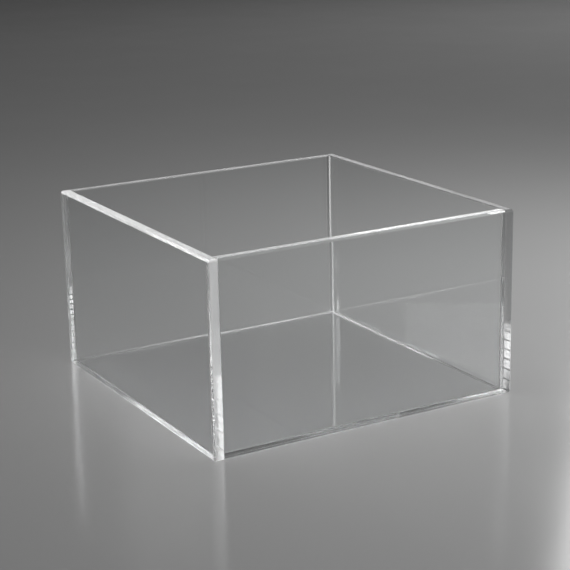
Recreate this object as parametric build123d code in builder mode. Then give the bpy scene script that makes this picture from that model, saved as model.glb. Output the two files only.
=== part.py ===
from build123d import *
import os

# Open-top clear acrylic display cube: four walls and a base, cemented edge to edge.
#
# +Z is up and -Y is the front. The origin is the centre of the footprint, on the surface that the
# cube stands on. The two side walls run the full depth, so their cut ends show on the front and the
# back. The front and back walls fit between them, and the base fits inside all four.

os.makedirs("parts", exist_ok=True)

# Driving dimensions, in millimetres
width = 203.2  # X, over the side walls
depth = 203.2  # Y, over the front and back walls
height = 114.3  # Z, from the underside to the open rim
wall_sheet = 6.0  # thickness of the wall sheet
base_sheet = 2.0  # thickness of the base sheet
bond = 0.2  # cured cement between two sheets
bead = 0.8  # leg of the cement bead left in each inside corner
rim_bevel = 1.2  # polished bevel round the outside of the rim
corner_bevel = 0.8  # polished bevel on the upright outside corners
arris = 0.4  # broken edge round the inside of the rim and round the foot

# Worked out from them
half_width = width / 2
half_depth = depth / 2
inner_x = half_width - wall_sheet  # inside faces of the side walls
inner_y = half_depth - wall_sheet  # inside faces of the front and back walls
bead_arc = 1.5 * bead  # radius of a bead's hollow face
bead_foot = base_sheet + bead  # where the upright beads start, on top of the base beads


def save(piece, label):
    """Labels a finished piece and writes its STEP file."""
    piece.part.label = label
    export_step(piece.part, f"parts/{label}.step")


# Side walls: full depth, bevelled round the outside face and across both ends. The inside edge of
# the rim is broken only between the front and back walls.
with BuildPart() as left_wall:
    with BuildSketch(Plane.XY):
        with Locations((-half_width + wall_sheet / 2, 0)):
            Rectangle(wall_sheet, depth)
    extrude(amount=height)
    chamfer(left_wall.edges().filter_by(Axis.Z).group_by(Axis.X)[0], length=corner_bevel)
    foot_face = left_wall.faces().sort_by(Axis.Z)[0]
    chamfer(foot_face.edges().sort_by(Axis.X)[:-1], length=arris)
    rim_face = left_wall.faces().sort_by(Axis.Z)[-1]
    chamfer(rim_face.edges().sort_by(Axis.X)[:-1], length=rim_bevel)
    with BuildSketch(Plane.XZ):
        with BuildLine():
            Polyline(
                (-inner_x, height - arris),
                (-inner_x, height),
                (-inner_x - arris, height),
                close=True,
            )
        make_face()
    extrude(amount=inner_y, both=True, mode=Mode.SUBTRACT)

with BuildPart() as right_wall:
    mirror(left_wall.part, about=Plane.YZ)

# Front and back walls: between the side walls, one cement film short at each end
with BuildPart() as front_wall:
    with BuildSketch(Plane.YZ):
        with Locations((-half_depth + wall_sheet / 2, height / 2)):
            Rectangle(wall_sheet, height)
    extrude(amount=inner_x - bond, both=True)
    long_edges = front_wall.edges().filter_by(Axis.X).group_by(Axis.Y)
    outer_foot, outer_rim = long_edges[0].sort_by(Axis.Z)
    inner_rim = long_edges[-1].sort_by(Axis.Z)[-1]
    chamfer(outer_rim, length=rim_bevel)
    chamfer([outer_foot, inner_rim], length=arris)

with BuildPart() as back_wall:
    mirror(front_wall.part, about=Plane.XZ)

# Base: inside the four walls, flush with their lower edges
with BuildPart() as base_panel:
    with BuildSketch(Plane.XY):
        Rectangle(2 * (inner_x - bond), 2 * (inner_y - bond))
    extrude(amount=base_sheet)

# Corner seams: a film over the whole end of the front or back wall, and a bead in the inside corner
with BuildPart() as corner_seam_front_left:
    with BuildSketch(Plane.YZ.offset(-inner_x)):
        with Locations((-half_depth + wall_sheet / 2, height / 2)):
            Rectangle(wall_sheet, height)
    extrude(amount=bond)
    film_edges = corner_seam_front_left.edges().filter_by(Axis.X).group_by(Axis.Y)
    film_foot, film_rim = film_edges[0].sort_by(Axis.Z)
    film_inner_rim = film_edges[-1].sort_by(Axis.Z)[-1]
    chamfer(film_rim, length=rim_bevel)
    chamfer([film_foot, film_inner_rim], length=arris)
    with BuildSketch(Plane.XY.offset(bead_foot)):
        with BuildLine():
            Polyline(
                (-inner_x, -inner_y + bead),
                (-inner_x, -inner_y),
                (-inner_x + bead, -inner_y),
            )
            RadiusArc((-inner_x + bead, -inner_y), (-inner_x, -inner_y + bead), bead_arc)
        make_face()
    extrude(amount=height - arris - bead_foot)

with BuildPart() as corner_seam_front_right:
    mirror(corner_seam_front_left.part, about=Plane.YZ)

with BuildPart() as corner_seam_back_left:
    mirror(corner_seam_front_left.part, about=Plane.XZ)

with BuildPart() as corner_seam_back_right:
    mirror(corner_seam_back_left.part, about=Plane.YZ)


def base_seam_section(inside_face):
    """The face of a base seam, across its length: the film beside the base and the bead on top."""
    with BuildSketch(mode=Mode.PRIVATE) as section:
        with BuildLine():
            Polyline(
                (-inside_face, base_sheet + bead),
                (-inside_face, 0),
                (-inside_face + bond, 0),
                (-inside_face + bond, base_sheet),
                (-inside_face + bead, base_sheet),
            )
            RadiusArc(
                (-inside_face + bead, base_sheet), (-inside_face, base_sheet + bead), bead_arc
            )
        make_face()
    return section.sketch


def mitre(side_x, side_y):
    """The upright plane through one inside corner that parts the two base seams meeting there."""
    return Plane(
        origin=(side_x * inner_x, side_y * inner_y, 0), z_dir=(-side_x, side_y, 0)
    )


# Base seams: one along each wall, mitred where they meet. The mitre planes face towards a front or
# back seam and away from a side seam.
with BuildPart() as base_seam_front:
    with BuildSketch(Plane.YZ):
        add(base_seam_section(inner_y))
    extrude(amount=inner_x, both=True)
    for side_x in (-1, 1):
        split(bisect_by=mitre(side_x, -1), keep=Keep.TOP)

with BuildPart() as base_seam_back:
    mirror(base_seam_front.part, about=Plane.XZ)

with BuildPart() as base_seam_left:
    with BuildSketch(Plane.XZ):
        add(base_seam_section(inner_x))
    extrude(amount=inner_y, both=True)
    for side_y in (-1, 1):
        split(bisect_by=mitre(-1, side_y), keep=Keep.BOTTOM)

with BuildPart() as base_seam_right:
    mirror(base_seam_left.part, about=Plane.YZ)


pieces = {
    "left_wall": left_wall,
    "right_wall": right_wall,
    "front_wall": front_wall,
    "back_wall": back_wall,
    "base_panel": base_panel,
    "corner_seam_front_left": corner_seam_front_left,
    "corner_seam_front_right": corner_seam_front_right,
    "corner_seam_back_left": corner_seam_back_left,
    "corner_seam_back_right": corner_seam_back_right,
    "base_seam_front": base_seam_front,
    "base_seam_back": base_seam_back,
    "base_seam_left": base_seam_left,
    "base_seam_right": base_seam_right,
}
for label, piece in pieces.items():
    save(piece, label)
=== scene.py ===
import math

import bmesh
import bpy
from mathutils import Matrix, Vector


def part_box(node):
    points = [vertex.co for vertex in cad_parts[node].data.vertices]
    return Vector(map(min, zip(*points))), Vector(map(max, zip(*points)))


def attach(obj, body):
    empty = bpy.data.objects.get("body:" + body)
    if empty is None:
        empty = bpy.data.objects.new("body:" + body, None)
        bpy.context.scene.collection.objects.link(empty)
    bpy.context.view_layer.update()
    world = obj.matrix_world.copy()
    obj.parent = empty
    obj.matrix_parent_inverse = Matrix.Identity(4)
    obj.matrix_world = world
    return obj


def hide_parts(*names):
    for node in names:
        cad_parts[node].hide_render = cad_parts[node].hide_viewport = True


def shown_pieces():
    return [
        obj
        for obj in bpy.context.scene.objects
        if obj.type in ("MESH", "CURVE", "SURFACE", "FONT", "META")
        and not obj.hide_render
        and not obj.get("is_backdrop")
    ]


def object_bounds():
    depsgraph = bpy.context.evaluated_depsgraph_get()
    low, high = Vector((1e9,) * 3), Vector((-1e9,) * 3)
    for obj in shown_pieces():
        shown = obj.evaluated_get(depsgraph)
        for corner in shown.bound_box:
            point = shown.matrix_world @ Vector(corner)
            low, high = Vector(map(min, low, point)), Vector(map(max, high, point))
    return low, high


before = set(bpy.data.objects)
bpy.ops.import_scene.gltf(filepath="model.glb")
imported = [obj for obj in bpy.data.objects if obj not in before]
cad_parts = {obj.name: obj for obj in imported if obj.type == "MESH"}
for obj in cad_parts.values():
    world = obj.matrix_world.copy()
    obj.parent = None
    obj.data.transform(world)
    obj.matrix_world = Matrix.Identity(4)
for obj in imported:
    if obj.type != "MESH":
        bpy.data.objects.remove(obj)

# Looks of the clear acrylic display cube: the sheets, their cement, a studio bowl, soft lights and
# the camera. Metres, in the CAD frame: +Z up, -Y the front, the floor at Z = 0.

cad_low, cad_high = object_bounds()

MM = 0.001
RIM_BEVEL = 1.2 * MM  # polished bevel round the outside of the rim
CORNER_BEVEL = 0.8 * MM  # polished bevel on the upright outside corners
ARRIS = 0.4 * MM  # broken edge round the inside of the rim and round the foot
POLISH = 0.14 * MM  # radius that polishing leaves on every edge
BOND = 0.2 * MM  # cured cement between two sheets
BEAD = 0.8 * MM  # leg of the cement bead in each inside corner
AIR = 0.03 * MM  # the sheets stop this short of the cement, so no two clear faces coincide

LEFT, RIGHT, FRONT, BACK, FOOT, TOP = ((axis, sign) for axis in range(3) for sign in (-1, 1))
CLEAR, CUT_TOP, CUT_END = 0, 1, 2  # material slots of a wall


# ---- materials ----------------------------------------------------------------------------------

def new_material(name, **values):
    """A material of one Principled shader with those socket values; an underscore is a space."""
    material = bpy.data.materials.new(name)
    material.use_nodes = True
    tree = material.node_tree
    tree.nodes.clear()
    output = tree.nodes.new("ShaderNodeOutputMaterial")
    shader = tree.nodes.new("ShaderNodeBsdfPrincipled")
    tree.links.new(shader.outputs["BSDF"], output.inputs["Surface"])
    for socket, value in values.items():
        shader.inputs[socket.replace("_", " ")].default_value = value
    return material, tree, shader


def noise(tree, scale, stretch=(1, 1, 1), detail=3.0):
    """Noise with that many grains to the metre along each stretched axis."""
    place = tree.nodes.new("ShaderNodeTexCoord")
    mapping = tree.nodes.new("ShaderNodeMapping")
    mapping.inputs["Scale"].default_value = stretch
    texture = tree.nodes.new("ShaderNodeTexNoise")
    texture.inputs["Scale"].default_value = scale
    texture.inputs["Detail"].default_value = detail
    tree.links.new(place.outputs["Object"], mapping.inputs["Vector"])
    tree.links.new(mapping.outputs["Vector"], texture.inputs["Vector"])
    return texture.outputs["Fac"]


def ranged(tree, source, low, high, start=0.3, end=0.7):
    """The source's values from start to end, mapped to low to high."""
    node = tree.nodes.new("ShaderNodeMapRange")
    node.inputs["From Min"].default_value = start
    node.inputs["From Max"].default_value = end
    node.inputs["To Min"].default_value = low
    node.inputs["To Max"].default_value = high
    tree.links.new(source, node.inputs["Value"])
    return node.outputs["Result"]


def bump(tree, shader, source, distance):
    """A relief of that depth, in metres, where the source goes from 0 to 1."""
    node = tree.nodes.new("ShaderNodeBump")
    node.inputs["Distance"].default_value = distance
    tree.links.new(source, node.inputs["Height"])
    tree.links.new(node.outputs["Normal"], shader.inputs["Normal"])


def clear_acrylic():
    """Water-clear cast sheet: a faint haze from handling, and the slight waviness of a casting."""
    material, tree, shader = new_material("clear_acrylic", Base_Color=(0.985, 0.992, 0.992, 1),
                                          IOR=1.49, Transmission_Weight=1.0)
    haze = noise(tree, 45, detail=5.0)
    tree.links.new(ranged(tree, haze, 0.0, 0.03, start=0.45, end=0.75), shader.inputs["Roughness"])
    bump(tree, shader, noise(tree, 22, detail=1.0), 0.012 * MM)
    return material


def cut_edge(name, along, roughness):
    """A sawn and polished edge: slightly milky, with fine lines along its length."""
    material, tree, shader = new_material(name, Base_Color=(0.97, 0.98, 0.98, 1), IOR=1.49,
                                          Transmission_Weight=0.75)
    stretch = [1.0, 1.0, 1.0]
    stretch[along] = 0.02
    lines = noise(tree, 1400, stretch)
    tree.links.new(ranged(tree, lines, 0.5 * roughness, 1.5 * roughness), shader.inputs["Roughness"])
    bump(tree, shader, lines, 0.015 * MM)
    return material


def cement(name, transmission, roughness):
    """Clear solvent cement, cured a little uneven, with the cloud of very small bubbles it traps."""
    material, tree, shader = new_material(name, IOR=1.47, Transmission_Weight=transmission)
    bubbles = noise(tree, 900)
    tree.links.new(ranged(tree, bubbles, 0.5 * roughness, 1.5 * roughness), shader.inputs["Roughness"])
    tree.links.new(ranged(tree, bubbles, 0.93, 0.99), shader.inputs["Base Color"])
    bump(tree, shader, noise(tree, 260), roughness * 0.2 * MM)
    return material


def studio_floor():
    """A satin painted floor, pale grey, with the slight unevenness of rolled paint."""
    material, tree, shader = new_material("studio_floor", IOR=1.6)
    tree.links.new(ranged(tree, noise(tree, 1.3), 0.49, 0.51), shader.inputs["Base Color"])
    tree.links.new(ranged(tree, noise(tree, 9.0), 0.125, 0.155), shader.inputs["Roughness"])
    return material


# ---- meshes -------------------------------------------------------------------------------------

def finish_piece(name, bm, materials, node):
    """Makes the object of a bmesh, rides it on the one body and lets it stand for its node."""
    bmesh.ops.recalc_face_normals(bm, faces=bm.faces)
    mesh = bpy.data.meshes.new(name)
    bm.to_mesh(mesh)
    bm.free()
    for material in materials:
        mesh.materials.append(material)
    piece = bpy.data.objects.new(name, mesh)
    bpy.context.scene.collection.objects.link(piece)
    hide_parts(node)
    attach(piece, "root")


def shrunk_box(node, sides):
    """The corners of a node's CAD box, moved in by AIR on those sides."""
    corners = [list(corner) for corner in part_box(node)]
    for axis, sign in sides:
        corners[sign > 0][axis] -= sign * AIR
    return corners


def block(low, high):
    """A bmesh of the box between two corners."""
    bm = bmesh.new()
    for vert in bmesh.ops.create_cube(bm, size=1.0)["verts"]:
        vert.co = Vector(l + (h - l) * (c + 0.5) for l, h, c in zip(low, high, vert.co))
    return bm


def bevel(bm, edges, width, segments=1):
    """Bevels the edges by that width along each face."""
    bmesh.ops.bevel(bm, geom=edges, offset=width, segments=segments, affect="EDGES", profile=0.5)


def round_edges(bm):
    """Polishing rounds every edge a little."""
    bevel(bm, [e for e in bm.edges if e.calc_face_angle(0) > math.radians(15)], POLISH, segments=2)


def loft(bm, start, end):
    """A closed solid between two matching outlines."""
    first = [bm.verts.new(point) for point in start]
    last = [bm.verts.new(point) for point in end]
    bm.faces.new(first)
    bm.faces.new(last)
    for k in range(len(first)):
        j = (k + 1) % len(first)
        bm.faces.new((first[k], first[j], last[j], last[k]))


# ---- sheets -------------------------------------------------------------------------------------

def wall(node, outer, ends, glued, materials):
    """A wall: its outer face, its two end faces, and whether cement covers the ends."""
    low, high = shrunk_box(node, ends if glued else [])
    bm = block(low, high)
    inner = (outer[0], -outer[1])
    outward = [outer] if glued else [outer] + ends
    inward = [inner] + ends if glued else [inner]

    def lies_on(edge, side):
        axis, sign = side
        level = (high if sign > 0 else low)[axis]
        return all(abs(vert.co[axis] - level) < 1e-6 for vert in edge.verts)

    def outline(side):
        """The edges of the top or the foot that belong to the outside."""
        return [e for e in bm.edges if lies_on(e, side) and not any(lies_on(e, s) for s in inward)]

    bevel(bm, [e for e in bm.edges if sum(lies_on(e, s) for s in outward) == 2], CORNER_BEVEL)
    bevel(bm, outline(TOP), RIM_BEVEL)
    bevel(bm, outline(FOOT), ARRIS)
    bevel(bm, [e for e in bm.edges if lies_on(e, TOP) and lies_on(e, inner)], ARRIS)
    round_edges(bm)
    bmesh.ops.recalc_face_normals(bm, faces=bm.faces)
    # Sawn faces: the rim, with its bevels on the side walls, then the bare ends and the foot's arris.
    for face in bm.faces:
        level = face.calc_center_median().z
        if face.normal.z > 0.9 or not glued and level > high[2] - RIM_BEVEL:
            face.material_index = CUT_TOP
        elif not glued and abs(face.normal.y) > 0.9 or 0 < level < ARRIS:
            face.material_index = CUT_END
    finish_piece(node + "_sheet", bm, materials, node)


clear = clear_acrylic()
cut_top = [cut_edge(f"cut_top_{name}", axis, 0.18) for axis, name in enumerate("xy")]
cut_end = cut_edge("cut_end", 2, 0.1)

for side, side_name in ((LEFT, "left"), (RIGHT, "right")):
    wall(f"{side_name}_wall", side, [FRONT, BACK], False, [clear, cut_top[1], cut_end])
for side, side_name in ((FRONT, "front"), (BACK, "back")):
    wall(f"{side_name}_wall", side, [LEFT, RIGHT], True, [clear, cut_top[0], cut_end])

base = block(*shrunk_box("base_panel", [LEFT, RIGHT, FRONT, BACK]))
round_edges(base)
finish_piece("base_panel_sheet", base, [clear], "base_panel")


# ---- cement -------------------------------------------------------------------------------------

inner_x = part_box("right_wall")[0][0]
inner_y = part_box("back_wall")[0][1]
half_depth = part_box("back_wall")[1][1]
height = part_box("back_wall")[1][2]
base_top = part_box("base_panel")[1][2]
film = cement("cement_film", 1.0, 0.02)
bead = cement("cement_bead", 0.55, 0.12)


def bead_section(steps=6):
    """The section of a bead: two legs along the sheets from their corner, and a hollow face."""
    radius = 1.5 * BEAD
    middle = BEAD / 2 + math.sqrt(radius ** 2 / 2 - BEAD ** 2 / 4)
    start = math.atan2(-middle, BEAD - middle)
    end = math.atan2(BEAD - middle, -middle)
    points = [(0.0, 0.0)]
    for k in range(steps + 1):
        angle = start + (end - start) * k / steps
        points.append((middle + radius * math.cos(angle), middle + radius * math.sin(angle)))
    return points


def finish_cement(node, bm, film_faces):
    """A seam's first faces are its film and the rest its bead."""
    bm.faces.ensure_lookup_table()
    for face in bm.faces[film_faces:]:
        face.material_index = 1
    finish_piece(node + "_cement", bm, [film, bead], node)


def corner_seam(node, side_x, side_y):
    """The film over the end of a front or back wall, and the upright bead in the inside corner."""
    bm = bmesh.new()
    outline = [(inner_y, AIR), (half_depth - ARRIS, AIR), (half_depth, ARRIS),
               (half_depth, height - RIM_BEVEL), (half_depth - RIM_BEVEL, height),
               (inner_y + ARRIS, height), (inner_y, height - ARRIS)]
    faces = [(inner_x - AIR, y, z) for y, z in outline], [(inner_x - BOND + AIR, y, z) for y, z in outline]
    loft(bm, *([(side_x * x, side_y * y, z) for x, y, z in face] for face in faces))
    film_faces = len(bm.faces)
    section = [(side_x * (inner_x - AIR - u), side_y * (inner_y - AIR - v)) for u, v in bead_section()]
    loft(bm, *([(x, y, z) for x, y in section] for z in (base_top + BEAD, height - ARRIS)))
    finish_cement(node, bm, film_faces)


def base_seam(node, side):
    """The film beside the base along one wall, and the bead on top of it, mitred at both ends."""
    axis, sign = side
    across, along = (inner_x - AIR, inner_y - AIR) if axis == 0 else (inner_y - AIR, inner_x - AIR)
    bm = bmesh.new()

    def run(section):
        """A solid along the wall; u is measured in from the wall, z up."""
        rows = [[(sign * (across - u), end * (along - u), z) for u, z in section] for end in (-1, 1)]
        if axis == 1:
            rows = [[(y, x, z) for x, y, z in row] for row in rows]
        loft(bm, *rows)

    run([(0, AIR), (0, base_top), (BOND - 2 * AIR, base_top), (BOND - 2 * AIR, AIR)])
    film_faces = len(bm.faces)
    run([(u, base_top + AIR + v) for u, v in bead_section()])
    finish_cement(node, bm, film_faces)


for depth_side, depth_name in ((FRONT, "front"), (BACK, "back")):
    for width_side, width_name in ((LEFT, "left"), (RIGHT, "right")):
        corner_seam(f"corner_seam_{depth_name}_{width_name}", width_side[1], depth_side[1])
for side, side_name in ((FRONT, "front"), (BACK, "back"), (LEFT, "left"), (RIGHT, "right")):
    base_seam(f"base_seam_{side_name}", side)


# ---- studio -------------------------------------------------------------------------------------

AIM_HEIGHT = 0.06  # every light is aimed at the point this far above the middle of the footprint
PANEL_DISTANCE = 4.6  # the panels stand this far out, inside the bowl's wall
FLOOR_GAP = 0.2 * MM  # the floor lies this far under the box, so the two never coincide
RING_STEP = 50  # degrees of azimuth that one panel of the ring covers
BOWL_STEPS = 12  # segments of the floor's curve


def studio_bowl(flat=5.0, curve=0.8, top=4.0, around=128):
    """A round floor that curves up into a wall all round, so every view has the same plain ground."""
    profile = [(0.4, 0.0), (flat, 0.0)]
    for i in range(1, BOWL_STEPS + 1):
        angle = math.radians(90) * i / BOWL_STEPS
        profile.append((flat + curve * math.sin(angle), curve * (1 - math.cos(angle))))
    profile.append((flat + curve, top))
    bm = bmesh.new()
    turns = [2 * math.pi * k / around for k in range(around)]
    rings = [[bm.verts.new((radius * math.cos(turn), radius * math.sin(turn), level)) for turn in turns]
             for radius, level in profile]
    bm.faces.new(rings[0])
    for inner_ring, outer_ring in zip(rings, rings[1:]):
        for k in range(around):
            j = (k + 1) % around
            bm.faces.new((inner_ring[k], outer_ring[k], outer_ring[j], inner_ring[j]))
    mesh = bpy.data.meshes.new("studio_floor")
    bm.to_mesh(mesh)
    bm.free()
    for polygon in mesh.polygons:
        polygon.use_smooth = True
    mesh.materials.append(studio_floor())
    bowl = bpy.data.objects.new("studio_floor", mesh)
    bowl.location.z = -FLOOR_GAP
    bpy.context.scene.collection.objects.link(bowl)
    bowl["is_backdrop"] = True
    return bowl


def lit_group(name, objects):
    """A collection of the objects that a light is kept to."""
    group = bpy.data.collections.new(name)
    for thing in objects:
        group.objects.link(thing)
    return group


def softbox(name, azimuth, elevation, distance, width, height, radiance, only_on, unshadowed=False):
    """A rectangular soft light of that radiance, aimed at the box; azimuth 0 is behind it (+Y).
    It lights the named pieces only, and an unshadowed one isn't blocked by anything else."""
    light = bpy.data.lights.new(name, "AREA")
    light.shape = "RECTANGLE"
    light.size = width
    light.size_y = height
    light.energy = radiance * math.pi * width * height
    lamp = bpy.data.objects.new(name, light)
    a, e = math.radians(azimuth), math.radians(elevation)
    away = Vector((math.sin(a) * math.cos(e), math.cos(a) * math.cos(e), math.sin(e)))
    lamp.location = Vector((0, 0, AIM_HEIGHT)) + away * distance
    lamp.rotation_euler = (-away).to_track_quat("-Z", "Y").to_euler()
    lamp.visible_camera = False
    lamp.light_linking.receiver_collection = only_on
    if unshadowed:
        lamp.light_linking.blocker_collection = only_on
    bpy.context.scene.collection.objects.link(lamp)


def panel(name, start, end, low, high, radiance, only_on):
    """A panel of soft light between two azimuths and two elevations, in degrees."""
    bottom, top = (PANEL_DISTANCE * math.tan(math.radians(angle)) for angle in (low, high))
    middle = (bottom + top) / 2 - AIM_HEIGHT
    rise = math.atan2(middle, PANEL_DISTANCE)
    width = 2 * PANEL_DISTANCE * math.tan(math.radians((end - start) / 2))
    softbox(name, (start + end) / 2, math.degrees(rise), math.hypot(PANEL_DISTANCE, middle), width,
            (top - bottom) * math.cos(rise), radiance, only_on)


floor_only = lit_group("floor_only", [studio_bowl()])
left_sheet, right_sheet, front_sheet, base_sheet = (
    bpy.data.objects[f"{node}_sheet"] for node in ("left_wall", "right_wall", "front_wall", "base_panel"))
edges = lit_group("edges", [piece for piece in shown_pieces() if piece != base_sheet])
left_only = lit_group("left_only", [left_sheet])
front_only = lit_group("front_only", [front_sheet])
right_only = lit_group("right_only", [right_sheet])
seams = [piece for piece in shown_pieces() if piece.name.endswith("_cement")]
fill_lit = lit_group("fill_lit", [front_sheet] + seams)

# The panels are what the edges of the sheets show; none of them lights the base, so it stays clear.
panel("panel_left_bars", -48, -34, 17.8, 19.6, 2.2, right_only)
panel("panel_left_low", -33, -16, 8, 16.3, 3.8, left_only)
panel("panel_left_high", -29, -24.5, 16.4, 27, 1.0, left_only)
panel("panel_back", -16, 18, 8, 26, 2.0, edges)
panel("panel_right_low", 18, 50, 8, 16.3, 1.2, edges)
for start in range(50, 300, RING_STEP):
    panel(f"panel_{start}", start, start + RING_STEP, 8, 26, 0.3, edges)

# Soft boxes: fills and a glint for the rims and corners, then key and wash for the floor.
softbox("fill", 215, 43, 1.3, 0.9, 0.8, 9.0, fill_lit)
softbox("left_fill", 215, 35, 1.3, 0.9, 0.9, 9.0, left_only)
softbox("back_fill", 330, 52, 1.6, 0.7, 0.7, 9.0, left_only)
softbox("glint", 107, 46, 1.3, 0.27, 0.27, 12.0, front_only)
softbox("key", 97, 45, 0.7, 0.4, 0.4, 7.2, floor_only, unshadowed=True)
softbox("wash", 60, 25, 2.5, 1.2, 0.8, 4.2, floor_only, unshadowed=True)

world = bpy.data.worlds.new("studio")
world.use_nodes = True
world.node_tree.nodes["Background"].inputs["Color"].default_value = (0.12, 0.12, 0.12, 1)
bpy.context.scene.world = world


# ---- camera -------------------------------------------------------------------------------------

def aim_camera(azimuth, elevation, roll, position, lens):
    """A camera that looks along that azimuth, down by that elevation, turned by roll, in degrees."""
    a, e, r = (math.radians(v) for v in (azimuth, elevation, roll))
    forward = Vector((math.sin(a) * math.cos(e), math.cos(a) * math.cos(e), -math.sin(e)))
    level = Vector((math.cos(a), -math.sin(a), 0))
    up = level.cross(forward)
    right = math.cos(r) * level + math.sin(r) * up
    data = bpy.data.cameras.new("camera")
    data.sensor_width = 36
    data.lens = lens
    camera = bpy.data.objects.new("camera", data)
    bpy.context.scene.collection.objects.link(camera)
    turned = Matrix((right, right.cross(forward), -forward)).transposed().to_4x4()
    camera.matrix_world = Matrix.Translation(position) @ turned
    bpy.context.scene.camera = camera


side = cad_high.x - cad_low.x
aim_camera(29.76, 16.19, -1.22, Vector((-2.279, -4.013, 1.634)) * side, lens=99.3)

# Light passes many clear faces on its way through the box, so the bounce limits are high.
scene = bpy.context.scene
scene.view_settings.view_transform = "Standard"
scene.cycles.max_bounces = 128
scene.cycles.transmission_bounces = 64
scene.cycles.glossy_bounces = 128
scene.cycles.caustics_reflective = True
scene.cycles.caustics_refractive = True
